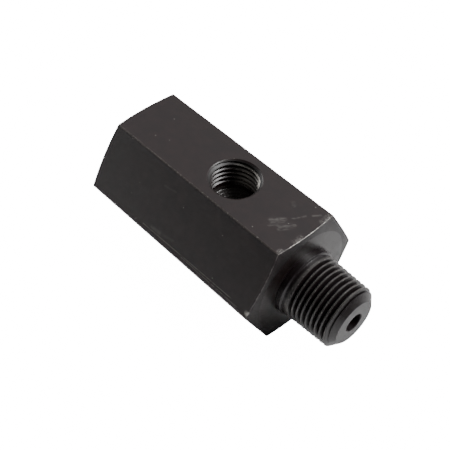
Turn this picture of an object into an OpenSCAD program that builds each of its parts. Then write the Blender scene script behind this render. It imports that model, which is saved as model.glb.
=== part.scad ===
// Pressure gauge adapter: one length of hexagonal steel bar, turned to a male pipe end on the right,
// tapped for a feed pipe on the left, and tapped through its top flat for the gauge.
//
// Millimetres. The bar lies along X with its male end toward +X. One flat is on the ground at Z = 0 and
// the opposite flat, which holds the gauge port, faces +Z. The origin is the centre of the footprint.
//
// The two screwed holes are drawn at the size over the tops of their threads. The male thread is drawn as
// a row of ring grooves, which have the pitch, depth and taper of the real thread but don't wind round.

/* [Hexagonal bar] */
// Distance between opposite flats of the bar
across_flats = 31.75; // [30:0.05:42]
// Length of the bar between its two end faces
body_length = 58.2; // [50:0.1:80]
// Diameter of the true flat in the middle of each end face
face_diameter = 28.4; // [24:0.1:31]
// Slope of the turned rim of each end face, in degrees from the face
face_slope = 11.5; // [5:0.5:20]

/* [Male end] */
// How far the male end stands out of the bar
nipple_length = 16.8; // [14:0.1:24]
// Diameter of the plain collar beside the end face
collar_diameter = 18.4; // [18:0.1:21]
// Length of the plain collar
collar_length = 1.5; // [1:0.1:2.2]
// Length of the slope between the collar and the neck
collar_slope_length = 0.35; // [0.2:0.05:0.9]
// Distance from the end face to the start of the thread, with the collar and the neck inside it
plain_length = 3.6; // [3.2:0.1:6]
// Distance from one thread groove to the next, 18 in an inch
thread_pitch = 1.411; // [1:0.001:1.8]
// Depth of a thread groove
thread_depth = 1; // [0.5:0.05:1.1]
// Width of the flat left on top of the thread
thread_top_width = 0.25; // [0.1:0.05:0.4]
// Diameter over the thread tops at the very tip, before the tip is bevelled
thread_tip_diameter = 16.67; // [14:0.01:17]
// Diameter of the flat ring left at the tip
tip_face_diameter = 12.2; // [10:0.1:14]
// Length of the bevel at the tip
tip_bevel_length = 1.9; // [0.5:0.1:3]

/* [Gauge port] */
// Distance from the end face beside the male end to the axis of the gauge port
port_setback = 24.4; // [20:0.1:27]
// Diameter of the drilled hole, which is the size over the tops of its thread
port_drill_diameter = 11.5; // [9:0.01:12]
// Depth of the full diameter below the top flat
port_depth = 9.2; // [8:0.1:12]
// Diameter of the bevel where the port meets the top flat
port_rim_diameter = 14; // [12.5:0.1:15]
// Diameter of the small hole that joins the port to the passage
cross_hole_diameter = 4.2; // [2:0.1:5]

/* [Feed port] */
// Diameter of the drilled hole, which is the size over the tops of its thread
feed_drill_diameter = 14.68; // [12:0.01:17]
// Depth of the full diameter below the left end face
feed_depth = 17; // [12:0.1:20]
// Diameter of the bevel where the feed port meets the end face
feed_rim_diameter = 17.6; // [17.2:0.1:20]

/* [Passage and drill] */
// Diameter of the passage that runs from the feed port out through the tip
passage_diameter = 5.1; // [3:0.1:7]
// Full angle of the point of every drill, in degrees
drill_point_angle = 118; // [90:1:140]
// Full angle of the countersink at the mouth of both ports, in degrees
countersink_angle = 90; // [80:1:130]

/* [Hidden] */

// Sides that make the drawing step draw a true circle, and the six of the bar
round_sides = 96;
bar_sides = 6;
// Turn that puts a flat of the bar underneath, in degrees
flat_turn = 180 / bar_sides;
// Cutting shapes pass this far beyond the surface they open
overshoot = 1;
// Standard pipe taper: the diameter grows by one part in this many of the length
pipe_taper = 16;
// Width of the flat at the bottom of a thread groove
root_width = 0.06;

total_length = body_length + nipple_length;
left_face_x = -total_length / 2;
right_face_x = left_face_x + body_length;
axis_z = across_flats / 2;
corner_radius = axis_z / cos(flat_turn);

face_radius = face_diameter / 2;
face_drop = (corner_radius - face_radius) * tan(face_slope);

thread_tip_radius = thread_tip_diameter / 2;
neck_radius = thread_top_radius(plain_length);
bevel_start = nipple_length - tip_bevel_length;
groove_count = floor((bevel_start - plain_length) / thread_pitch);
grooves_start = bevel_start - groove_count * thread_pitch;

port_x = right_face_x - port_setback;
drill_slope = tan(drill_point_angle / 2);
countersink_slope = tan(countersink_angle / 2);

// Radius over the thread tops at a distance from the end face.
function thread_top_radius(along) = thread_tip_radius + (nipple_length - along) / pipe_taper / 2;

// The outline of the bar's turned ends, as a half profile: distance from the axis, then place along it.
// It cuts the six corners of the hexagon back and leaves a round flat in the middle of each face.
module turned_ends_profile() {
    polygon([
        [0, 0],
        [face_radius, 0],
        [corner_radius + overshoot, face_drop * (1 + overshoot / (corner_radius - face_radius))],
        [corner_radius + overshoot, body_length - face_drop * (1 + overshoot / (corner_radius - face_radius))],
        [face_radius, body_length],
        [0, body_length]
    ]);
}

// One thread groove of the male end, as the four points of its half profile.
function groove_points(start) =
    let (
        top_start = start + thread_top_width / 2,
        middle = start + thread_pitch / 2,
        top_end = start + thread_pitch - thread_top_width / 2,
        root_radius = thread_top_radius(middle) - thread_depth
    ) [
        [thread_top_radius(top_start), top_start],
        [root_radius, middle - root_width / 2],
        [root_radius, middle + root_width / 2],
        [thread_top_radius(top_end), top_end]
    ];

// The male end as a half profile, starting inside the bar and running out to the tip.
module male_end_profile() {
    neck_start = collar_length + collar_slope_length;
    polygon([
        [0, -overshoot],
        [collar_diameter / 2, -overshoot],
        [collar_diameter / 2, collar_length],
        [neck_radius, neck_start],
        [neck_radius, plain_length],
        for (i = [0 : groove_count - 1]) each groove_points(grooves_start + i * thread_pitch),
        [thread_top_radius(bevel_start), bevel_start],
        [tip_face_diameter / 2, nipple_length],
        [0, nipple_length]
    ]);
}

// A drilled hole seen as a half profile: mouth at height zero, opened by a countersink whose cone carries
// on above the surface, then the plain wall and the pointed bottom.
module drilled_hole_profile(wall_diameter, wall_depth, rim_diameter) {
    wall_radius = wall_diameter / 2;
    rim_radius = rim_diameter / 2;
    polygon([
        [0, overshoot],
        [rim_radius + overshoot * countersink_slope, overshoot],
        [wall_radius, (wall_radius - rim_radius) / countersink_slope],
        [wall_radius, -wall_depth],
        [0, -wall_depth - wall_radius / drill_slope]
    ]);
}

// Everything that is solid steel before the holes are drilled.
module turned_bar() {
    translate([left_face_x, 0, axis_z]) rotate([0, 90, 0]) intersection() {
        rotate([0, 0, flat_turn]) cylinder(h = body_length, r = corner_radius, $fn = bar_sides);
        rotate_extrude($fn = round_sides) turned_ends_profile();
    }
    translate([right_face_x, 0, axis_z]) rotate([0, 90, 0])
        rotate_extrude($fn = round_sides) male_end_profile();
}

// The gauge port, drilled down from the top flat toward the passage.
module gauge_port() {
    translate([port_x, 0, across_flats]) {
        rotate_extrude($fn = round_sides)
            drilled_hole_profile(port_drill_diameter, port_depth, port_rim_diameter);
        translate([0, 0, -axis_z])
            cylinder(h = axis_z - port_depth, d = cross_hole_diameter, $fn = round_sides);
    }
}

// The feed port, drilled in from the left end face.
module feed_port() {
    translate([left_face_x, 0, axis_z]) rotate([0, -90, 0])
        rotate_extrude($fn = round_sides)
            drilled_hole_profile(feed_drill_diameter, feed_depth, feed_rim_diameter);
}

// The long passage, drilled from the tip until it meets the feed port.
module passage() {
    translate([left_face_x + feed_depth, 0, axis_z]) rotate([0, 90, 0])
        cylinder(h = total_length - feed_depth + overshoot, d = passage_diameter, $fn = round_sides);
}

module adapter_body() {
    color([0.09, 0.09, 0.092])
    difference() {
        turned_bar();
        gauge_port();
        feed_port();
        passage();
    }
}

adapter_body();
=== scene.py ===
# %% [markdown]
# # A pressure gauge adapter in blackened steel
#
# The adapter is one length of hexagonal steel bar. Its right end is turned down and threaded, its left
# end and its top flat are drilled and tapped, and the whole piece is then blackened in a hot salt bath.
# The lesson follows the same order as the workshop: the bar, the lathe, the drill, the thread cutter and
# the finish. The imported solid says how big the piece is, so it is loaded first and never touched.

# %% Load the fixed frame
import math

import bpy
from mathutils import Matrix, Vector


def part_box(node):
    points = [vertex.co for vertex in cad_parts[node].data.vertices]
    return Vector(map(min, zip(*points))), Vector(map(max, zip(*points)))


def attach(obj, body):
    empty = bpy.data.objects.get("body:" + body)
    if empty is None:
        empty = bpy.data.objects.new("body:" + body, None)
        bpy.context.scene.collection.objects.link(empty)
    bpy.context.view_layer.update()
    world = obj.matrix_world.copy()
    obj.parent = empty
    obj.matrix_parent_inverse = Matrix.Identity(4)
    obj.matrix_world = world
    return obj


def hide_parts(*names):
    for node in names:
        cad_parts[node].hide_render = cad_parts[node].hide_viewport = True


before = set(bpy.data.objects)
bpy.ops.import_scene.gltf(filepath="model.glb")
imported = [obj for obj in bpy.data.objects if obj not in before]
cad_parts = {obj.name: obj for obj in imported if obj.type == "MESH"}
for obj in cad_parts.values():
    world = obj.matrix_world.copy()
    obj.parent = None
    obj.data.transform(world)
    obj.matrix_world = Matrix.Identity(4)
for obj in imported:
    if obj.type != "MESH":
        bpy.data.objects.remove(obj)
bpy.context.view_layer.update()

# %% [markdown]
# ## Overall sizes
#
# Blender works in metres, so every size in millimetres is multiplied by MM. The overall sizes are read
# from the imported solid. Each later cell adds the sizes of its own step, under the names that a machinist
# would give them.

# %% Overall sizes
MM = 0.001
FLAT_TURN = math.radians(30)

solid_low, solid_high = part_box("adapter_body")
LEFT_X = solid_low.x
TIP_X = solid_high.x
BOTTOM_Z = solid_low.z
TOP_Z = solid_high.z
AXIS_Z = (BOTTOM_Z + TOP_Z) / 2
APOTHEM = (TOP_Z - BOTTOM_Z) / 2
CORNER_RADIUS = APOTHEM / math.cos(FLAT_TURN)
print("bar", round(2 * APOTHEM / MM, 2), "mm across flats, piece", round((TIP_X - LEFT_X) / MM, 2), "mm long")

# %% [markdown]
# ## Working by hand, in code
#
# An operator acts on whatever is selected, and the imported solid arrives selected. So each step first
# lets go of everything and then picks up only the piece it works on. These small helpers are used by
# every later step.

# %% Helpers for selecting, editing and finishing
MERGE_GAP = 0.0005 * MM


def take(piece):
    """Selects this piece alone and makes it the one that operators act on."""
    bpy.ops.object.select_all(action="DESELECT")
    piece.select_set(True)
    bpy.context.view_layer.objects.active = piece


def settle(piece):
    """Moves the object's place and turn into its mesh, so that it sits at the origin."""
    take(piece)
    bpy.ops.object.transform_apply(location=True, rotation=True, scale=True)


def close_and_face_out(piece):
    """Merges doubled points and turns every face outward."""
    take(piece)
    bpy.ops.object.mode_set(mode="EDIT")
    bpy.ops.mesh.select_all(action="SELECT")
    bpy.ops.mesh.remove_doubles(threshold=MERGE_GAP)
    bpy.ops.mesh.normals_make_consistent(inside=False)
    bpy.ops.object.mode_set(mode="OBJECT")


def combine(piece, tool, how):
    """Adds, cuts or keeps the common part of two solids, and throws the second one away."""
    take(piece)
    bpy.ops.object.modifier_add(type="BOOLEAN")
    cut = piece.modifiers[-1]
    cut.operation = how
    cut.solver = "EXACT"
    cut.object = tool
    bpy.ops.object.modifier_apply(modifier=cut.name)
    bpy.data.objects.remove(tool, do_unlink=True)


def open_edges(piece):
    """How many edges don't have exactly two faces. A closed solid has none."""
    uses = {}
    for face in piece.data.polygons:
        for key in face.edge_keys:
            uses[key] = uses.get(key, 0) + 1
    return sum(1 for key in piece.data.edges.keys() if uses.get(key, 0) != 2)


# %% [markdown]
# ## The bar
#
# Hexagonal bar is drawn cold through a die, which leaves six flat sides and corners that are slightly
# round. A six-sided cylinder laid along X has two flats facing up and down. Its six long edges are picked
# by their direction and given a small bevel in a few segments.

# %% A helper that bevels chosen edges
def break_edges(piece, wanted, width, segments):
    """Selects the edges for which wanted(a, b) holds and bevels them."""
    take(piece)
    bpy.ops.object.mode_set(mode="EDIT")
    bpy.ops.mesh.select_mode(type="EDGE")
    bpy.ops.mesh.select_all(action="DESELECT")
    bpy.ops.object.mode_set(mode="OBJECT")
    at = piece.data.vertices
    for edge in piece.data.edges:
        edge.select = wanted(at[edge.vertices[0]].co, at[edge.vertices[1]].co)
    count = sum(edge.select for edge in piece.data.edges)
    bpy.ops.object.mode_set(mode="EDIT")
    bpy.ops.mesh.bevel(offset=width, segments=segments, profile=0.5)
    bpy.ops.object.mode_set(mode="OBJECT")
    print("broke", count, "edges, open edges", open_edges(piece))


# %% Draw the hexagonal bar
STOCK_ALLOWANCE = 2 * MM
CORNER_ROUNDING = 0.3 * MM


def long_edge(a, b):
    """True for an edge that runs along the bar."""
    run = b - a
    return abs(run.x) > abs(run.y) + abs(run.z)


bpy.ops.object.select_all(action="DESELECT")
bpy.ops.mesh.primitive_cylinder_add(
    vertices=6,
    radius=CORNER_RADIUS,
    depth=TIP_X - LEFT_X + 2 * STOCK_ALLOWANCE,
    location=((LEFT_X + TIP_X) / 2, 0, AXIS_Z),
    rotation=(0, math.pi / 2, 0),
)
adapter = bpy.context.active_object
adapter.name = "blackened_adapter"
settle(adapter)
break_edges(adapter, long_edge, width=CORNER_ROUNDING, segments=4)
print("bar stock:", len(adapter.data.polygons), "faces")

# %% [markdown]
# ## The lathe
#
# On the lathe everything that turns about the bar's axis is cut: the gently coned end faces, the collar,
# the neck, the blank for the thread, the bevelled tip, and from both ends the passage and the feed port.
# All of it is one closed outline. Spun about the axis, it gives the largest solid the lathe would leave,
# and the common part of that solid and the bar is the turned piece. The sharp corners a tool never quite
# leaves are rounded in the outline itself, because that is much easier than bevelling the finished solid.

# %% Sizes of the end faces and the male end
MALE_END_LENGTH = 16.8 * MM
SHOULDER_X = TIP_X - MALE_END_LENGTH
FACE_RADIUS = 14.2 * MM
FACE_SLOPE = math.tan(math.radians(11.5))
COLLAR_RADIUS = 9.2 * MM
COLLAR_LENGTH = 1.5 * MM
COLLAR_SLOPE = 0.35 * MM
PLAIN_LENGTH = 3.6 * MM
TIP_BEVEL = 1.9 * MM
TIP_FACE_RADIUS = 6.1 * MM
PIPE_TAPER = 1 / 32
TIP_CREST_RADIUS = 8.335 * MM
NECK_RADIUS = TIP_CREST_RADIUS + (MALE_END_LENGTH - PLAIN_LENGTH) * PIPE_TAPER
print("male end", round(MALE_END_LENGTH / MM, 2), "mm long, neck", round(2 * NECK_RADIUS / MM, 2), "mm")

# %% Sizes of the passage and the feed port
PASSAGE_RADIUS = 2.55 * MM
PASSAGE_RIM = 0.15 * MM
FEED_RADIUS = 7.34 * MM
FEED_DEPTH = 17 * MM
FEED_RIM_RADIUS = 8.8 * MM
DRILL_POINT = math.tan(math.radians(59))
COUNTERSINK = math.tan(math.radians(45))
print("feed port", round(2 * FEED_RADIUS / MM, 2), "mm wide,", round(FEED_DEPTH / MM, 2), "mm deep")

# %% A helper that rounds the corners of an outline
def rounded(outline, steps=4):
    """Each corner is (along, out, radius). Corners with a radius become short arcs. The outline is closed."""
    smooth = []
    for i, (along, out, radius) in enumerate(outline):
        here = Vector((along, out))
        if radius == 0:
            smooth.append(here)
            continue
        before = Vector(outline[i - 1][:2]) - here
        after = Vector(outline[(i + 1) % len(outline)][:2]) - here
        half_turn = before.angle(after) / 2
        reach = min(radius / math.tan(half_turn), before.length / 2, after.length / 2)
        start = here + before.normalized() * reach
        end = here + after.normalized() * reach
        bulge = (before.normalized() + after.normalized()).normalized()
        fitted = reach * math.tan(half_turn)
        centre = here + bulge * fitted / math.sin(half_turn)
        sweep = (start - centre).angle_signed(end - centre)
        for step in range(steps + 1):
            arm = start - centre
            arm.rotate(Matrix.Rotation(-sweep * step / steps, 2))
            smooth.append(centre + arm)
    return smooth


# %% Helpers that draw an outline and spin it
LATHE_STEPS = 160


def closed_line(name, corners):
    """An object that is only a closed line through the corners. It becomes the active one."""
    mesh = bpy.data.meshes.new(name)
    mesh.from_pydata(corners, [(i, (i + 1) % len(corners)) for i in range(len(corners))], [])
    piece = bpy.data.objects.new(name, mesh)
    bpy.context.scene.collection.objects.link(piece)
    take(piece)
    return piece


def spun(name, outline, axis_point, along, out):
    """Draws a closed outline in the plane of two directions and spins it about the first of them."""
    piece = closed_line(name, [axis_point + along * p.x + out * p.y for p in outline])
    bpy.ops.object.mode_set(mode="EDIT")
    bpy.ops.mesh.select_all(action="SELECT")
    bpy.ops.mesh.spin(steps=LATHE_STEPS, angle=2 * math.pi, center=axis_point, axis=along)
    bpy.ops.object.mode_set(mode="OBJECT")
    close_and_face_out(piece)
    print(name, len(piece.data.polygons), "faces, open edges", open_edges(piece))
    return piece


# %% Turn the outside and bore the inside
CLEAR_OF_BAR = CORNER_RADIUS + 1 * MM
FEED_RIM_ROUNDING = 0.1 * MM
COLLAR_ROUNDING = 0.08 * MM
NECK_ROUNDING = 0.2 * MM
BEVEL_ROUNDING = 0.1 * MM
TIP_ROUNDING = 0.15 * MM

cone_run = (CLEAR_OF_BAR - FACE_RADIUS) * FACE_SLOPE
feed_rim_run = (FEED_RIM_RADIUS - FEED_RADIUS) / COUNTERSINK
bevel_crest = TIP_CREST_RADIUS + TIP_BEVEL * PIPE_TAPER

turned_outline = rounded([
    (LEFT_X, FEED_RIM_RADIUS, FEED_RIM_ROUNDING),
    (LEFT_X, FACE_RADIUS, 0),
    (LEFT_X + cone_run, CLEAR_OF_BAR, 0),
    (SHOULDER_X - cone_run, CLEAR_OF_BAR, 0),
    (SHOULDER_X, FACE_RADIUS, 0),
    (SHOULDER_X, COLLAR_RADIUS, 0),
    (SHOULDER_X + COLLAR_LENGTH, COLLAR_RADIUS, COLLAR_ROUNDING),
    (SHOULDER_X + COLLAR_LENGTH + COLLAR_SLOPE, NECK_RADIUS, NECK_ROUNDING),
    (SHOULDER_X + PLAIN_LENGTH, NECK_RADIUS, 0),
    (TIP_X - TIP_BEVEL, bevel_crest, BEVEL_ROUNDING),
    (TIP_X, TIP_FACE_RADIUS, TIP_ROUNDING),
    (TIP_X, PASSAGE_RADIUS + PASSAGE_RIM, 0),
    (TIP_X - PASSAGE_RIM, PASSAGE_RADIUS, 0),
    (LEFT_X + FEED_DEPTH + (FEED_RADIUS - PASSAGE_RADIUS) / DRILL_POINT, PASSAGE_RADIUS, 0),
    (LEFT_X + FEED_DEPTH, FEED_RADIUS, 0),
    (LEFT_X + feed_rim_run, FEED_RADIUS, 0),
])
bar_axis = Vector((0, 0, AXIS_Z))
turned = spun("turned_blank", turned_outline, bar_axis, Vector((1, 0, 0)), Vector((0, -1, 0)))
combine(adapter, turned, "INTERSECT")
print("turned piece:", len(adapter.data.polygons), "faces, open edges", open_edges(adapter))

# %% [markdown]
# ## The gauge port
#
# The gauge screws into a hole in the top flat. A drill leaves a round wall and a pointed floor, and its
# cutting edges leave low rings on that floor. A smaller drill goes on through the floor to the passage. A
# reamer then widens the upper part to the taper of a pipe thread, and a countersink opens the mouth so
# that the thread starts cleanly. All these cuts share one axis, so one spun shape makes them in one go.
# The rings are drawn into its outline, because they are deep enough to be seen in the light.

# %% Sizes of the gauge port
PORT_X = SHOULDER_X - 24.4 * MM
PORT_RADIUS = 5.75 * MM
PORT_DEPTH = 9.2 * MM
REAMED_DEPTH = 8 * MM
PORT_MOUTH_RADIUS = 6.0 * MM
PORT_RIM_RADIUS = 6.78 * MM
CROSS_HOLE_RADIUS = 2.1 * MM
print("gauge port", round(2 * PORT_RADIUS / MM, 2), "mm wide,", round(PORT_DEPTH / MM, 2), "mm deep")

# %% The rings on the drilled floor
RING_SPACING = 0.75 * MM
RING_HEIGHT = 0.2 * MM
RING_LAND = 0.1
WALL_TO_RINGS = 0.1 * MM

floor_rings = []
ring_radius = PORT_RADIUS - WALL_TO_RINGS
while ring_radius > CROSS_HOLE_RADIUS + RING_SPACING:
    for share, height in ((0, 0), (RING_LAND, 0), (0.5 + RING_LAND / 2, RING_HEIGHT)):
        radius = ring_radius - share * RING_SPACING
        drop = PORT_DEPTH + (PORT_RADIUS - radius) / DRILL_POINT
        floor_rings.append((height - drop, radius, 0))
    ring_radius -= RING_SPACING
print("rings on the floor:", len(floor_rings) // 3)

# %% Drill the gauge port
ABOVE_FLAT = 1 * MM

port_outline = rounded([
    (ABOVE_FLAT, 0, 0),
    (ABOVE_FLAT, PORT_RIM_RADIUS + ABOVE_FLAT * COUNTERSINK, 0),
    (0, PORT_RIM_RADIUS, 0),
    ((PORT_MOUTH_RADIUS - PORT_RIM_RADIUS) / COUNTERSINK, PORT_MOUTH_RADIUS, 0),
    (-REAMED_DEPTH, PORT_RADIUS, 0),
    (-PORT_DEPTH, PORT_RADIUS, 0),
    *floor_rings,
    (-PORT_DEPTH - (PORT_RADIUS - CROSS_HOLE_RADIUS) / DRILL_POINT, CROSS_HOLE_RADIUS, 0),
    (AXIS_Z - TOP_Z, CROSS_HOLE_RADIUS, 0),
    (AXIS_Z - TOP_Z, 0, 0),
])
port_mouth = Vector((PORT_X, 0, TOP_Z))
port = spun("gauge_port_cut", port_outline, port_mouth, Vector((0, 0, 1)), Vector((1, 0, 0)))
combine(adapter, port, "DIFFERENCE")
print("drilled piece:", len(adapter.data.polygons), "faces, open edges", open_edges(adapter))

# %% [markdown]
# ## Broken edges
#
# Where the coned end faces meet the six flats the lathe leaves an edge that would cut a hand, so it is
# broken with a file. Those edges are the ones far from the axis that do not run along the bar. A narrow
# bevel on them catches a line of light, which does more for the look of machined steel than any texture.
# The mouth of the gauge port has a round edge on the top flat, and it gets a still narrower bevel.

# %% Break the edges round both end faces
END_BREAK = 0.16 * MM
END_REACH = 1.2 * MM
CORNER_SLACK = 0.05 * MM
MOST_ALONG = 0.6


def end_edge(a, b):
    """True for an edge between a flat of the bar and a coned end face."""
    middle = (a + b) / 2
    out = math.hypot(middle.y, middle.z - AXIS_Z)
    near_an_end = min(middle.x - LEFT_X, SHOULDER_X - middle.x) < END_REACH
    runs_across = abs((b - a).x) < MOST_ALONG * (b - a).length
    return out > APOTHEM - CORNER_SLACK and near_an_end and runs_across


break_edges(adapter, end_edge, width=END_BREAK, segments=3)

# %% Break the edge round the mouth of the gauge port
MOUTH_BREAK = 0.1 * MM
FLAT_SLACK = 0.01 * MM
RIM_SLACK = 0.05 * MM


def port_mouth_edge(a, b):
    """True for the round edge where the countersink meets the top flat."""
    on_flat = max(abs(a.z - TOP_Z), abs(b.z - TOP_Z)) < FLAT_SLACK
    rings = [math.hypot(p.x - PORT_X, p.y) for p in (a, b)]
    return on_flat and max(abs(ring - PORT_RIM_RADIUS) for ring in rings) < RIM_SLACK


break_edges(adapter, port_mouth_edge, width=MOUTH_BREAK, segments=2)

# %% [markdown]
# ## The threads
#
# A pipe thread is a groove that winds round a cone: its depth stays the same while its radius changes by
# one part in thirty-two of the length. A screw modifier winds the outline of the groove round the X axis,
# and each point is then moved in or out for the taper. Its first stretch is lifted clear of the metal, so
# that it comes in gently instead of starting at a wall. The wound groove is a solid, and it is cut from
# the piece like any tool. All three threads are right-handed, so the same helper winds them and only the
# sizes change.

# %% The outline of a thread groove
PITCH = 25.4 * MM / 18
ROOT_FLAT = 0.06 * MM
CREST_FLAT = 0.25 * MM
CREST_BREAK = 0.15 * MM
CLEAR_OF_METAL = 0.35 * MM


def groove_section(radius, depth, side, crest_taper, root_taper):
    """The corners of a groove round x = 0, each as (along, out, change of out per length)."""
    half = (PITCH - CREST_FLAT) / 2
    return [
        (-half, radius + side * CLEAR_OF_METAL, crest_taper),
        (-half, radius, crest_taper),
        (CREST_BREAK - half, radius - side * CREST_BREAK, crest_taper),
        (-ROOT_FLAT / 2, radius - side * depth, root_taper),
        (ROOT_FLAT / 2, radius - side * depth, root_taper),
        (half - CREST_BREAK, radius - side * CREST_BREAK, crest_taper),
        (half, radius, crest_taper),
        (half, radius + side * CLEAR_OF_METAL, crest_taper),
    ]


print("pitch", round(PITCH / MM, 3), "mm")

# %% Helpers that shape the wound groove
def follow_taper(groove, section, turns, side, lifts):
    """Moves every point in or out for the taper. lifts holds how far each step stands off the metal."""
    last_step = len(lifts) - 1
    for vertex in groove.data.vertices:
        step, corner = divmod(vertex.index, len(section))
        out = math.hypot(vertex.co.y, vertex.co.z)
        wanted = out + section[corner][2] * PITCH * turns * (step / last_step) + side * lifts[step]
        vertex.co.y *= wanted / out
        vertex.co.z *= wanted / out


def close_ends(groove, sides):
    """Fills the two open ends of the groove, so that it is a solid."""
    bpy.ops.object.mode_set(mode="EDIT")
    bpy.ops.mesh.select_mode(type="EDGE")
    bpy.ops.mesh.select_all(action="DESELECT")
    bpy.ops.mesh.select_non_manifold()
    bpy.ops.mesh.fill_holes(sides=sides)
    bpy.ops.object.mode_set(mode="OBJECT")
    close_and_face_out(groove)


def placed(piece, origin, turn=None):
    """Turns a cutter about the origin and then moves it to its place."""
    if turn:
        piece.data.transform(turn)
    piece.data.transform(Matrix.Translation(origin))
    return piece


# %% A helper that winds a thread cutter
THREAD_STEPS = 96


def wound_groove(name, radius, depth, turns, start_angle, side, crest_taper, root_taper, run_in):
    """A helical groove about the X axis that starts at x = 0 and runs toward +X.

    radius is that of the thread tops at x = 0. side is 1 for a groove cut into a shaft and -1 for one cut
    into the wall of a hole. The tapers are the change of radius per length. start_angle is measured from
    +Y toward +Z, and over the angle run_in the groove comes in from clear of the metal to full depth.
    """
    section = groove_section(radius, depth, side, crest_taper, root_taper)
    start_y = math.cos(start_angle)
    start_z = math.sin(start_angle)
    groove = closed_line(name, [(x, out * start_y, out * start_z) for x, out, taper in section])
    bpy.ops.object.modifier_add(type="SCREW")
    winding = groove.modifiers[-1]
    winding.axis = "X"
    winding.angle = 2 * math.pi * turns
    winding.screw_offset = PITCH * turns
    winding.steps = winding.render_steps = round(THREAD_STEPS * turns)
    winding.use_smooth_shade = False
    steps = winding.steps
    bpy.ops.object.modifier_apply(modifier=winding.name)

    shares = [step / steps for step in range(steps + 1)]
    to_go = [max(0.0, 1 - share * turns * 2 * math.pi / run_in) for share in shares]
    follow_taper(groove, section, turns, side, [(depth + CLEAR_OF_METAL) * part for part in to_go])
    close_ends(groove, len(section))
    print(name, len(groove.data.polygons), "faces, open edges", open_edges(groove))
    return groove


# %% Cut the male thread
MALE_THREAD_LENGTH = 13.42 * MM
male_start = TIP_X - MALE_THREAD_LENGTH

male_groove = wound_groove(
    "male_thread_cut",
    radius=TIP_CREST_RADIUS + (TIP_X - male_start) * PIPE_TAPER,
    depth=1.06 * MM,
    turns=10.4,
    start_angle=-math.pi / 4,
    side=1,
    crest_taper=-PIPE_TAPER,
    root_taper=-PIPE_TAPER,
    run_in=math.pi * 0.6,
)
combine(adapter, placed(male_groove, Vector((male_start, 0, AXIS_Z))), "DIFFERENCE")
print("after the male thread:", len(adapter.data.polygons), "faces, open edges", open_edges(adapter))

# %% [markdown]
# ### The thread of the gauge port
#
# The gauge port has five to six turns above a plain stretch of drilled wall. Its cutter is wound about X
# as the others are and then turned upright, with its start at the bottom and its last turn above the flat.

# %% Tap the gauge port
PORT_THREAD_LENGTH = 7.95 * MM

port_groove = wound_groove(
    "gauge_thread_cut",
    radius=PORT_RADIUS,
    depth=1.0 * MM,
    turns=6.5,
    start_angle=math.radians(3),
    side=-1,
    crest_taper=PIPE_TAPER,
    root_taper=PIPE_TAPER,
    run_in=math.pi * 2.4,
)
upright = Matrix.Rotation(-math.pi / 2, 4, "Y")
port_thread_end = Vector((PORT_X, 0, TOP_Z - PORT_THREAD_LENGTH))
combine(adapter, placed(port_groove, port_thread_end, upright), "DIFFERENCE")
print("after the gauge thread:", len(adapter.data.polygons), "faces, open edges", open_edges(adapter))

# %% [markdown]
# ### The thread of the feed port
#
# The feed port takes a pipe of the same size as the male end. Its wall stays as it was drilled, so only
# the bottom of the groove follows the taper.

# %% Tap the feed port
FEED_THREAD_LENGTH = 13 * MM

feed_groove = wound_groove(
    "feed_thread_cut",
    radius=FEED_RADIUS,
    depth=0.76 * MM,
    turns=10.4,
    start_angle=0,
    side=-1,
    crest_taper=0,
    root_taper=PIPE_TAPER,
    run_in=math.pi,
)
turned_round = Matrix.Rotation(math.pi, 4, "Z")
feed_thread_end = Vector((LEFT_X + FEED_THREAD_LENGTH, 0, AXIS_Z))
combine(adapter, placed(feed_groove, feed_thread_end, turned_round), "DIFFERENCE")
print("after the feed thread:", len(adapter.data.polygons), "faces, open edges", open_edges(adapter))

# %% [markdown]
# ## Smooth and flat
#
# Round surfaces are shaded smooth and real corners stay sharp, told apart by their angle. The limit is a
# little less than the fold of the rings on the port's floor, so those stay sharp too. A weighted normal
# keeps the big flats dead flat right up to the narrow bevels along their edges.

# %% Shade the finished shape
SMOOTH_BELOW = math.radians(32)

close_and_face_out(adapter)
bpy.ops.object.shade_smooth_by_angle(angle=SMOOTH_BELOW)
bpy.ops.object.modifier_add(type="WEIGHTED_NORMAL")
weighting = adapter.modifiers[-1]
weighting.keep_sharp = True
bpy.ops.object.modifier_apply(modifier=weighting.name)
triangles = sum(len(face.vertices) - 2 for face in adapter.data.polygons)
print("finished shape:", triangles, "triangles, open edges", open_edges(adapter))

# %% [markdown]
# ## The finish
#
# Hot blackening turns the outer skin of steel into a thin dark oxide. It hardly conducts, so it shines
# like black lacquer, and where an edge has rubbed against other parts in a bin the bright steel comes
# through. Everything below is worked out from the place on the piece in millimetres, so that the same
# marks stay in the same spots whatever the render, and nothing is painted by hand.

# %% Helpers that wire up shader nodes
def feed(tree, socket, value):
    """Links a socket to another node's output, or sets its constant."""
    if isinstance(value, bpy.types.NodeSocket):
        tree.links.new(value, socket)
    else:
        socket.default_value = value


def calc(tree, operation, *values, clamp=False):
    """A math node on one to three values."""
    node = tree.nodes.new("ShaderNodeMath")
    node.operation = operation
    node.use_clamp = clamp
    for socket, value in zip(node.inputs, values):
        feed(tree, socket, value)
    return node.outputs["Value"]


def calc_vector(tree, operation, *values, output="Vector"):
    """A vector math node on one or two vectors."""
    node = tree.nodes.new("ShaderNodeVectorMath")
    node.operation = operation
    for socket, value in zip(node.inputs, values):
        feed(tree, socket, value)
    return node.outputs[output]


def ease(tree, value, low, high, start=0.0, end=1.0):
    """Goes smoothly from start to end while the value goes from low to high."""
    node = tree.nodes.new("ShaderNodeMapRange")
    node.interpolation_type = "SMOOTHSTEP"
    for name, setting in (("From Min", low), ("From Max", high), ("To Min", start), ("To Max", end)):
        node.inputs[name].default_value = setting
    feed(tree, node.inputs["Value"], value)
    return node.outputs["Result"]


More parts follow.
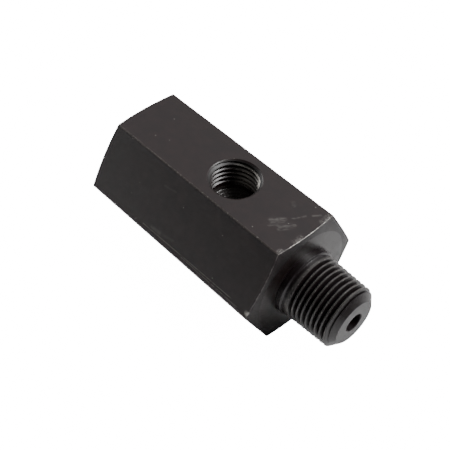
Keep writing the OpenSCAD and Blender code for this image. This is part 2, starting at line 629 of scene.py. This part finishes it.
def noise(tree, place, scale, detail=3.0, roughness=0.55):
    """Cloudy noise between 0 and 1, mostly near 0.5."""
    node = tree.nodes.new("ShaderNodeTexNoise")
    node.inputs["Scale"].default_value = scale
    node.inputs["Detail"].default_value = detail
    node.inputs["Roughness"].default_value = roughness
    feed(tree, node.inputs["Vector"], place)
    return node.outputs["Fac"]


def mixed(tree, first, second, share):
    """The first colour where the share is nothing, the second where it is whole."""
    node = tree.nodes.new("ShaderNodeMix")
    node.data_type = "RGBA"
    for name, value in (("A", first), ("B", second), ("Factor", share)):
        feed(tree, node.inputs[name], value)
    return node.outputs["Result"]


# %% Helpers that make and use a node group
def new_group(name, inputs, outputs):
    """An empty node group with named sockets, and its input and output nodes."""
    tree = bpy.data.node_groups.new(name, "ShaderNodeTree")
    for way, sockets in (("INPUT", inputs), ("OUTPUT", outputs)):
        for label, kind in sockets:
            tree.interface.new_socket(name=label, in_out=way, socket_type="NodeSocket" + kind)
    return tree, tree.nodes.new("NodeGroupInput").outputs, tree.nodes.new("NodeGroupOutput").inputs


def use_group(tree, group, **values):
    """Puts a group into a tree. Underscores in the names stand for spaces."""
    node = tree.nodes.new("ShaderNodeGroup")
    node.node_tree = group
    for name, value in values.items():
        feed(tree, node.inputs[name.replace("_", " ").capitalize()], value)
    return node.outputs


# %% [markdown]
# ### Where a point is on the bar
#
# Three distances describe any point of a turned hexagonal bar: how far along it lies, how far out from
# the axis, and how far out along the nearest flat's own direction. From them follows the distance to the
# edge where a coned end face meets a flat, which is where such a piece wears first.

# %% Group: distances on the bar
def bar_distances_group():
    """Distances in millimetres from the place in millimetres."""
    tree, given, result = new_group(
        "bar_distances",
        [("Place", "Vector")],
        [(label, "Float") for label in ("Along", "Out", "Flat", "Long edge", "End edge")],
    )
    split = tree.nodes.new("ShaderNodeSeparateXYZ")
    tree.links.new(given["Place"], split.inputs["Vector"])
    along = split.outputs["X"]
    height = calc(tree, "SUBTRACT", split.outputs["Z"], AXIS_Z / MM)
    across = split.outputs["Y"]
    squares = calc(tree, "MULTIPLY_ADD", across, across, calc(tree, "MULTIPLY", height, height))
    out = calc(tree, "SQRT", squares)
    flat = calc(tree, "ABSOLUTE", height)
    for side in (1, -1):
        slanted = calc(tree, "MULTIPLY", across, side * math.cos(FLAT_TURN))
        leaning = calc(tree, "MULTIPLY_ADD", height, math.sin(FLAT_TURN), slanted)
        flat = calc(tree, "MAXIMUM", flat, calc(tree, "ABSOLUTE", leaning))
    beyond_face = calc(tree, "MAXIMUM", calc(tree, "SUBTRACT", out, FACE_RADIUS / MM), 0.0)
    drop = calc(tree, "MULTIPLY", beyond_face, FACE_SLOPE)
    middle = (LEFT_X + SHOULDER_X) / 2 / MM
    from_middle = calc(tree, "ABSOLUTE", calc(tree, "SUBTRACT", along, middle))
    face_at = calc(tree, "SUBTRACT", (SHOULDER_X - LEFT_X) / 2 / MM, drop)
    end_gap = calc(tree, "SUBTRACT", face_at, from_middle)
    flat_gap = calc(tree, "SUBTRACT", APOTHEM / MM, flat)
    tree.links.new(along, result["Along"])
    tree.links.new(out, result["Out"])
    tree.links.new(flat, result["Flat"])
    tree.links.new(calc(tree, "SUBTRACT", CORNER_RADIUS / MM, out), result["Long edge"])
    tree.links.new(calc(tree, "MAXIMUM", end_gap, flat_gap), result["End edge"])
    return tree


bar_distances = bar_distances_group()
print("group", bar_distances.name, [item.name for item in bar_distances.interface.items_tree])

# %% [markdown]
# ### Broken masks and smears
#
# Rubbing never leaves an even line: the bright metal comes and goes along an edge. The first group breaks
# a mask up with noise. The second draws one smear, the mark of something dragged across a flat, as the
# distance to a short line.

# %% Groups: breaking up a mask and drawing a smear
def broken_group():
    """Lets a mask through only where the noise is high. A low Amount leaves sparse patches."""
    tree, given, result = new_group(
        "broken_mask",
        [("Place", "Vector"), ("Mask", "Float"), ("Size", "Float"), ("Amount", "Float")],
        [("Mask", "Float")],
    )
    node = tree.nodes.new("ShaderNodeTexNoise")
    node.inputs["Detail"].default_value = 4.0
    node.inputs["Roughness"].default_value = 0.6
    tree.links.new(given["Place"], node.inputs["Vector"])
    tree.links.new(calc(tree, "DIVIDE", 1.0, given["Size"]), node.inputs["Scale"])
    lifted = calc(tree, "SUBTRACT", calc(tree, "ADD", node.outputs["Fac"], given["Amount"]), 0.5)
    through = ease(tree, lifted, 0.42, 0.62)
    tree.links.new(calc(tree, "MULTIPLY", through, given["Mask"]), result["Mask"])
    return tree


def smear_group():
    """One at the line between Start and End, falling to nothing at Width from it."""
    tree, given, result = new_group(
        "smear",
        [("Place", "Vector"), ("Start", "Vector"), ("End", "Vector"), ("Width", "Float")],
        [("Mask", "Float")],
    )
    reach = calc_vector(tree, "SUBTRACT", given["End"], given["Start"])
    here = calc_vector(tree, "SUBTRACT", given["Place"], given["Start"])
    along = calc_vector(tree, "DOT_PRODUCT", here, reach, output="Value")
    whole = calc_vector(tree, "DOT_PRODUCT", reach, reach, output="Value")
    share = calc(tree, "DIVIDE", along, whole, clamp=True)
    stretch = tree.nodes.new("ShaderNodeVectorMath")
    stretch.operation = "SCALE"
    tree.links.new(reach, stretch.inputs[0])
    tree.links.new(share, stretch.inputs["Scale"])
    gap = calc_vector(tree, "DISTANCE", here, stretch.outputs["Vector"], output="Value")
    tree.links.new(ease(tree, calc(tree, "DIVIDE", gap, given["Width"]), 0.2, 1.0, 1.0, 0.0), result["Mask"])
    return tree


broken_mask = broken_group()
smear = smear_group()
print("groups", broken_mask.name, smear.name)

# %% [markdown]
# ### Blackened steel: where things are
#
# The material adds up the bare places, and a few places of painted light, as a list of masks, takes the
# bright steel there and the oxide everywhere else. It starts with the place on the piece in millimetres,
# so every limit below is in millimetres too. Short helpers keep the masks readable.

# %% Start the material and find the place
steel = bpy.data.materials.new("blackened_steel")
steel.use_nodes = True
tree = steel.node_tree
skin = tree.nodes["Principled BSDF"]
to_millimetres = tree.nodes.new("ShaderNodeVectorMath")
to_millimetres.operation = "SCALE"
to_millimetres.inputs["Scale"].default_value = 1 / MM
feed(tree, to_millimetres.inputs[0], tree.nodes.new("ShaderNodeTexCoord").outputs["Object"])
place = to_millimetres.outputs["Vector"]
split = tree.nodes.new("ShaderNodeSeparateXYZ")
feed(tree, split.inputs["Vector"], place)
across = split.outputs["Y"]
height = split.outputs["Z"]
at = use_group(tree, bar_distances, place=place)

TOP = TOP_Z / MM
AXIS = AXIS_Z / MM
FLAT = APOTHEM / MM
CORNER = CORNER_RADIUS / MM
SHOULDER = SHOULDER_X / MM
print("in millimetres: top flat at", round(TOP, 3), "and end face at", round(SHOULDER, 3))


# %% Helpers for the masks of this material
def times(first, second):
    """The common part of two masks, or a mask weakened by a factor."""
    return calc(tree, "MULTIPLY", first, second)


def fade(value, whole, gone):
    """A mask that is whole up to the first limit and gone from the second one on."""
    return ease(tree, value, whole, gone, 1.0, 0.0)


def bare(mask, size, amount, strength):
    """Bare steel within a mask, in patches of about this size. A higher amount gives more of them."""
    broken = use_group(tree, broken_mask, place=place, mask=mask, size=size, amount=amount)
    return times(broken["Mask"], strength)


# %% [markdown]
# ### Rubbed edges
#
# In a bin the edges of a piece touch others first. The edge of the top flat by the male end is the most
# worn, with bright patches and small spots beside it. The corner on the near side is worn more toward
# that end too, and the other long edges only show a thin broken line.

# %% Rub the edges bright
on_top = ease(tree, height, TOP - 0.25, TOP - 0.05)
near_face = ease(tree, at["Along"], 15, 18)
on_bar = ease(tree, at["Flat"], FLAT - 1.5, FLAT - 1.2)
end_line = fade(at["End edge"], 0.06, 0.19)
top_end_line = times(times(end_line, on_top), near_face)
long_line = times(fade(at["Long edge"], 0.10, 0.17), on_bar)
side_corner = fade(across, 0.3 - CORNER, 3 - CORNER)
side_line = times(fade(at["Long edge"], 0.10, 0.30), side_corner)
toward_face = ease(tree, at["Along"], -20, 16, 0.3, 1.0)
marks = [
    bare(top_end_line, size=0.45, amount=0.48, strength=0.70),
    bare(top_end_line, size=0.3, amount=0.90, strength=0.13),
    bare(times(end_line, on_bar), size=0.9, amount=0.5, strength=0.12),
    bare(long_line, size=0.8, amount=0.72, strength=0.05),
    bare(long_line, size=0.4, amount=0.42, strength=0.26),
    bare(times(side_line, toward_face), size=0.5, amount=0.50, strength=0.40),
]

RUBBED_SPOTS = [((19.0, -2.6), 2.2), ((18.9, 6.9), 2.4), ((19.4, -8.2), 1.2)]
near_edge = fade(at["End edge"], 0.3, 1.7)
for (x, y), reach in RUBBED_SPOTS:
    gap = calc_vector(tree, "DISTANCE", place, (x, y, TOP), output="Value")
    spot = times(times(fade(gap, reach * 0.5, reach), near_edge), on_top)
    marks.append(bare(spot, size=0.35, amount=0.50, strength=0.22))
print("marks of rubbed edges:", len(marks))

# %% [markdown]
# ### Smears, scratches and specks
#
# Something was dragged over the top flat by the male end and left faint smears that all run the same way.
# Each is a short line, and noise that is stretched along their common direction breaks them into streaks.
# Scratches are thinner lines, most of them along the lower edge of the near flat. Specks are small dots,
# so they are taken from the cell centres of a Voronoi texture.

# %% Smears on the top flat, as start, end, width and strength
SMEAR_TURN = math.radians(53)
SMEARS = [
    ((11.3, -3.0), (13.3, -0.3), 0.8, 0.085),
    ((12.1, -3.2), (13.5, -1.1), 0.8, 0.07),
    ((12.2, -4.5), (13.4, -3.0), 0.6, 0.05),
    ((14.0, -3.1), (16.2, 0.0), 0.6, 0.085),
    ((14.6, -3.6), (15.7, -2.1), 0.7, 0.05),
    ((14.4, 1.1), (15.9, 4.0), 0.35, 0.07),
    ((16.9, 5.3), (18.0, 6.9), 0.4, 0.08),
    ((11.0, 5.0), (11.8, 4.3), 0.7, 0.04),
    ((12.0, -2.6), (15.4, -1.2), 2.2, 0.018),
]
STREAK_STRETCH = (0.8, 4.5, 1.0)

turned_place = tree.nodes.new("ShaderNodeVectorRotate")
turned_place.rotation_type = "Z_AXIS"
turned_place.inputs["Angle"].default_value = -SMEAR_TURN
feed(tree, turned_place.inputs["Vector"], place)
stretched = calc_vector(tree, "MULTIPLY", turned_place.outputs["Vector"], STREAK_STRETCH)
streaky = ease(tree, noise(tree, stretched, 1.0), 0.36, 0.58)
for start, end, width, strength in SMEARS:
    line = use_group(tree, smear, place=place, start=(*start, TOP), end=(*end, TOP), width=width)["Mask"]
    marks.append(times(times(line, streaky), strength))
print("smears:", len(SMEARS))

# %% Scratches, as start, end, width and strength, and specks
SCRATCHES = [
    ((-17.3, -17.6, 17.1), (14.5, -17.4, 17.4), 0.22, 0.10),
    ((-3.0, -17.7, 16.9), (16.5, -17.8, 16.7), 0.16, 0.12),
    ((-10.4, -17.0, 18.1), (-7.0, -16.7, 18.6), 0.6, 0.02),
    ((-15.9, -11.6, 27.5), (-12.2, -11.3, 28.0), 0.4, 0.02),
    ((-14.5, -17.2, 17.8), (-11.5, -17.1, 17.9), 0.8, 0.04),
    ((19.7, -17.6, 17.1), (21.3, -17.7, 16.9), 0.9, 0.5),
]
SPECKS_PER_MM = 0.30

for start, end, width, strength in SCRATCHES:
    line = use_group(tree, smear, place=place, start=start, end=end, width=width)["Mask"]
    marks.append(bare(line, size=0.8, amount=0.6, strength=strength))

cells = tree.nodes.new("ShaderNodeTexVoronoi")
cells.inputs["Scale"].default_value = SPECKS_PER_MM
feed(tree, cells.inputs["Vector"], place)
marks.append(times(times(fade(cells.outputs["Distance"], 0.025, 0.05), on_bar), 0.30))
print("scratches:", len(SCRATCHES))

# %% [markdown]
# ### Worn threads and painted light
#
# The tops of the male thread are rubbed, and they lie on a cone, so the mask follows its taper. The bright
# steel on them is partly wear and partly a painted highlight along the crests. In the gauge port, bright
# steel on one side of the thread is a painted highlight where the light falls on that wall. A faint bright
# tint on the drilled floor is painted light that lifts its shade.

# %% Rub the tops of the male thread and paint highlights on them
before_tip = calc(tree, "SUBTRACT", TIP_X / MM, at["Along"])
crest_at = calc(tree, "MULTIPLY_ADD", before_tip, PIPE_TAPER, TIP_CREST_RADIUS / MM)
below_crest = calc(tree, "SUBTRACT", crest_at, at["Out"])
on_male_end = ease(tree, at["Along"], SHOULDER + 2.5, SHOULDER + 3)
# Bright steel on the thread tops: partly rubbed wear, partly a painted highlight along the crests.
crest = times(fade(below_crest, 0.02, 0.16), on_male_end)
marks.append(bare(crest, size=0.6, amount=0.66, strength=0.07))
marks.append(bare(crest, size=0.5, amount=0.42, strength=0.26))
# The thread roots, which get painted shade in the colour below.
groove = times(ease(tree, below_crest, 0.2, 0.8), on_male_end)
print("marks so far:", len(marks))

# %% Paint a highlight on one wall of the gauge port and light on its floor
PORT_WALL = PORT_RADIUS / MM

level_place = calc_vector(tree, "MULTIPLY", place, (1, 1, 0))
from_port = calc_vector(tree, "DISTANCE", level_place, (PORT_X / MM, 0, 0), output="Value")
in_port = fade(from_port, PORT_WALL + 0.3, PORT_WALL + 0.7)
below_mouth = fade(height, TOP - 1.2, TOP - 0.9)
above_floor = ease(tree, height, TOP - 8.2, TOP - 7.8)
tapped = times(times(in_port, below_mouth), above_floor)
# Painted highlight: bright steel on the side of the port's thread where the light falls.
to_the_right = calc_vector(tree, "DOT_PRODUCT", place, (0.7, 0.7, 0), output="Value")
painted_highlight_side = ease(tree, to_the_right, -3.5, 1.0)
marks.append(bare(times(tapped, painted_highlight_side), size=1.6, amount=0.80, strength=0.80))

# Painted light: a faint tint of bright steel on the drilled floor lifts its shade.
above_passage = ease(tree, height, AXIS, AXIS + 1)
drilled = times(calc(tree, "SUBTRACT", in_port, above_floor, clamp=True), above_passage)
marks.append(times(drilled, 0.05))

# The marks hold bare wear and also painted highlights and painted light in the threads and the gauge port.
bare_steel_and_painted_light = marks[0]
for mark in marks[1:]:
    bare_steel_and_painted_light = calc(tree, "MAXIMUM", bare_steel_and_painted_light, mark)
print("all marks:", len(marks))

# %% [markdown]
# ### Colour of the oxide
#
# The oxide isn't an even black. It clouds between a very dark and a slightly lighter reddish tint. A
# darker, less red tint is painted shade in the thread roots, on the coned rims and over the male end.
# Where a mark is bare steel or painted light the colour goes over to that of bright steel, and only there
# the surface is a metal.

# %% Mix the colours
OXIDE_DARK = (0.0062, 0.0020, 0.0024, 1)
OXIDE_LIGHT = (0.0108, 0.0041, 0.0042, 1)
# Painted shade: a darker, less red oxide for the thread roots, the coned rims of the end faces and the male
# end.
OXIDE_IN_PAINTED_SHADE = (0.0040, 0.0017, 0.0020, 1)
BRIGHT_STEEL_AND_PAINTED_LIGHT = (0.62, 0.60, 0.56, 1)

beyond_disc = ease(tree, at["Out"], FACE_RADIUS / MM, FACE_RADIUS / MM + 0.2)
off_flats = fade(at["Flat"], FLAT - 0.3, FLAT - 0.1)
on_cone = times(beyond_disc, off_flats)
past_face = ease(tree, at["Along"], SHOULDER - 0.2, SHOULDER + 0.1)
# Painted shade: this share lays the darker, less red oxide into the thread roots, the coned rims and over the
# male end.
painted_shade_share = calc(tree, "MAXIMUM", calc(tree, "MAXIMUM", groove, on_cone), past_face)

cloud = noise(tree, place, 0.25, detail=6.0, roughness=0.68)
clouded = mixed(tree, OXIDE_DARK, OXIDE_LIGHT, ease(tree, cloud, 0.36, 0.66))
oxide = mixed(tree, clouded, OXIDE_IN_PAINTED_SHADE, painted_shade_share)
feed(tree, skin.inputs["Base Color"], mixed(tree, oxide, BRIGHT_STEEL_AND_PAINTED_LIGHT, bare_steel_and_painted_light))
feed(tree, skin.inputs["Metallic"], ease(tree, bare_steel_and_painted_light, 0.05, 0.5))
print("oxide from", OXIDE_DARK[:3], "to", OXIDE_LIGHT[:3])

# %% [markdown]
# ### Sheen and fine relief
#
# The bath leaves a satin sheen that is a little duller on the coned rims and varies with the clouds. The
# tool leaves fine rings on the end faces, and the bath a fine grain. Both are far too small to model, so
# they only tilt the light, through a bump.

# %% Set the sheen and the fine relief
RING_PITCH = 0.32
RING_AMPLITUDE = 0.03
GRAIN_AMPLITUDE = 0.25
BUMP_HEIGHT = 0.02 * MM

satin = calc(tree, "MULTIPLY_ADD", on_cone, 0.13, calc(tree, "MULTIPLY_ADD", cloud, 0.16, 0.30))
feed(tree, skin.inputs["Roughness"], calc(tree, "MULTIPLY_ADD", bare_steel_and_painted_light, 0.1, satin))

grain = times(noise(tree, place, 4.0), GRAIN_AMPLITUDE)
rings = calc(tree, "SINE", times(at["Out"], 2 * math.pi / RING_PITCH))
from_face = calc(tree, "ABSOLUTE", calc(tree, "SUBTRACT", at["Along"], SHOULDER))
outside_collar = ease(tree, at["Out"], COLLAR_RADIUS / MM + 0.1, COLLAR_RADIUS / MM + 0.2)
on_face = times(fade(from_face, 1.0, 1.2), outside_collar)
relief = calc(tree, "MULTIPLY_ADD", times(rings, on_face), RING_AMPLITUDE, grain)
bump = tree.nodes.new("ShaderNodeBump")
bump.inputs["Distance"].default_value = BUMP_HEIGHT
bump.inputs["Strength"].default_value = 0.5
feed(tree, bump.inputs["Height"], relief)
feed(tree, skin.inputs["Normal"], bump.outputs["Normal"])

adapter.data.materials.clear()
adapter.data.materials.append(steel)
print("material nodes:", len(tree.nodes))

# %% [markdown]
# ## Into the frame
#
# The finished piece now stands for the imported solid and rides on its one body.

# %% Put the adapter in the frame
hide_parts("adapter_body")
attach(adapter, "root")
print(adapter.name, "stands for the packed solid")

# %% [markdown]
# ## Studio
#
# The piece lies on a sheet of pale paper, wide enough to fill the background from every side. The paper
# glows only toward the camera, which keeps it nearly white, while the light that reaches the piece comes
# from the room, from four softboxes and from what the paper throws back.

# %% Lay out the paper
FLOOR_HALF = 12
FLOOR_GAP = 0.02 * MM
PAPER_WHITE = (0.93, 0.93, 0.93, 1)
PAPER_GLOW = 16.0
BLACK = (0, 0, 0, 1)
WHITE = (1, 1, 1, 1)

bpy.ops.object.select_all(action="DESELECT")
bpy.ops.mesh.primitive_plane_add(size=2 * FLOOR_HALF, location=(0, 0, BOTTOM_Z - FLOOR_GAP))
floor = bpy.context.active_object
floor.name = "pale_floor"
settle(floor)
pale = bpy.data.materials.new("pale_paper")
pale.use_nodes = True
paper = pale.node_tree.nodes["Principled BSDF"]
paper.inputs["Base Color"].default_value = PAPER_WHITE
paper.inputs["Roughness"].default_value = 0.9
paper.inputs["Specular IOR Level"].default_value = 0.1
paper.inputs["Emission Strength"].default_value = PAPER_GLOW
seen = pale.node_tree.nodes.new("ShaderNodeLightPath").outputs["Is Camera Ray"]
feed(pale.node_tree, paper.inputs["Emission Color"], mixed(pale.node_tree, BLACK, WHITE, seen))
floor.data.materials.append(pale)
print("floor", 2 * FLOOR_HALF, "m wide")

# %% [markdown]
# ### The room and the softboxes
#
# A near-black piece shows little of its own colour. What the eye reads as its form is the room mirrored in
# it. So the room is bright high up behind the piece, which lights the top flat, and dim on the side of the
# camera, which keeps the near flat dark. The softboxes add the glints.

# %% Make the room
BRIGHT_SIDE = Vector((0.0, 1.0, 0))
ROOM_DIM = 0.08
ROOM_BRIGHT = 1.85


def soft_room():
    """A room that is bright behind the piece and dim in front of it, where the camera stands."""
    room = bpy.data.worlds.new("soft_room")
    room.use_nodes = True
    sky = room.node_tree
    direction = sky.nodes.new("ShaderNodeTexCoord").outputs["Generated"]
    way = sky.nodes.new("ShaderNodeSeparateXYZ")
    feed(sky, way.inputs["Vector"], direction)
    toward_back = calc_vector(sky, "DOT_PRODUCT", direction, BRIGHT_SIDE, output="Value")
    lit_side = ease(sky, toward_back, -0.1, 0.9)
    above_horizon = ease(sky, way.outputs["Z"], 0.2, 0.85)
    lit = calc(sky, "MULTIPLY", lit_side, above_horizon)
    strength = calc(sky, "MULTIPLY_ADD", lit, ROOM_BRIGHT - ROOM_DIM, ROOM_DIM)
    sky.nodes["Background"].inputs["Color"].default_value = WHITE
    feed(sky, sky.nodes["Background"].inputs["Strength"], strength)
    return room


bpy.context.scene.world = soft_room()
print("room from", ROOM_DIM, "to", ROOM_BRIGHT)

# %% Hang the softboxes
MIDDLE = Vector((0, 0, 0))


def softbox(name, place, width, height, power):
    """An area light at a place, turned to face the middle of the floor."""
    bpy.ops.object.select_all(action="DESELECT")
    bpy.ops.object.light_add(type="AREA", location=place)
    lamp = bpy.context.active_object
    lamp.name = name
    lamp.data.shape = "RECTANGLE"
    lamp.data.size = width
    lamp.data.size_y = height
    lamp.data.energy = power
    lamp.rotation_euler = (MIDDLE - Vector(place)).to_track_quat("-Z", "Y").to_euler()
    print(name, power, "W")


softbox("key_softbox", place=(0.38, 0.42, 0.72), width=0.28, height=0.28, power=10.8)
softbox("back_softbox", place=(0, 0.8, 0.31), width=0.5, height=0.25, power=0.4)
softbox("side_softbox", place=(-0.8, 0.02, 0.36), width=0.5, height=0.4, power=3.6)
softbox("low_softbox", place=(-0.78, -0.72, 0.10), width=0.5, height=0.3, power=0.50)

# %% [markdown]
# ## Camera
#
# The camera looks down on the near flat, the top flat and the male end at once. Its place and its three
# directions were fitted to the corners of the bar, so they are written as found. As columns, the three
# directions are the camera's turn.

# %% Camera
CAMERA_PLACE = Vector((103.11, -114.25, 189.69)) * MM
CAMERA_RIGHT = Vector((0.68476, 0.72721, 0.04764))
CAMERA_UP = Vector((-0.56503, 0.48849, 0.66493))
CAMERA_BACK = Vector((0.46027, -0.48224, 0.74539))
FOCAL_LENGTH = 74.15
SENSOR_WIDTH = 36

lens = bpy.data.cameras.new("photo_camera")
lens.lens = FOCAL_LENGTH
lens.sensor_width = SENSOR_WIDTH
camera = bpy.data.objects.new("photo_camera", lens)
bpy.context.scene.collection.objects.link(camera)
camera_turn = Matrix((CAMERA_RIGHT, CAMERA_UP, CAMERA_BACK)).transposed().to_4x4()
camera.matrix_world = Matrix.Translation(CAMERA_PLACE) @ camera_turn
bpy.context.scene.camera = camera
print("camera", round(CAMERA_PLACE.length / MM), "mm from the origin")
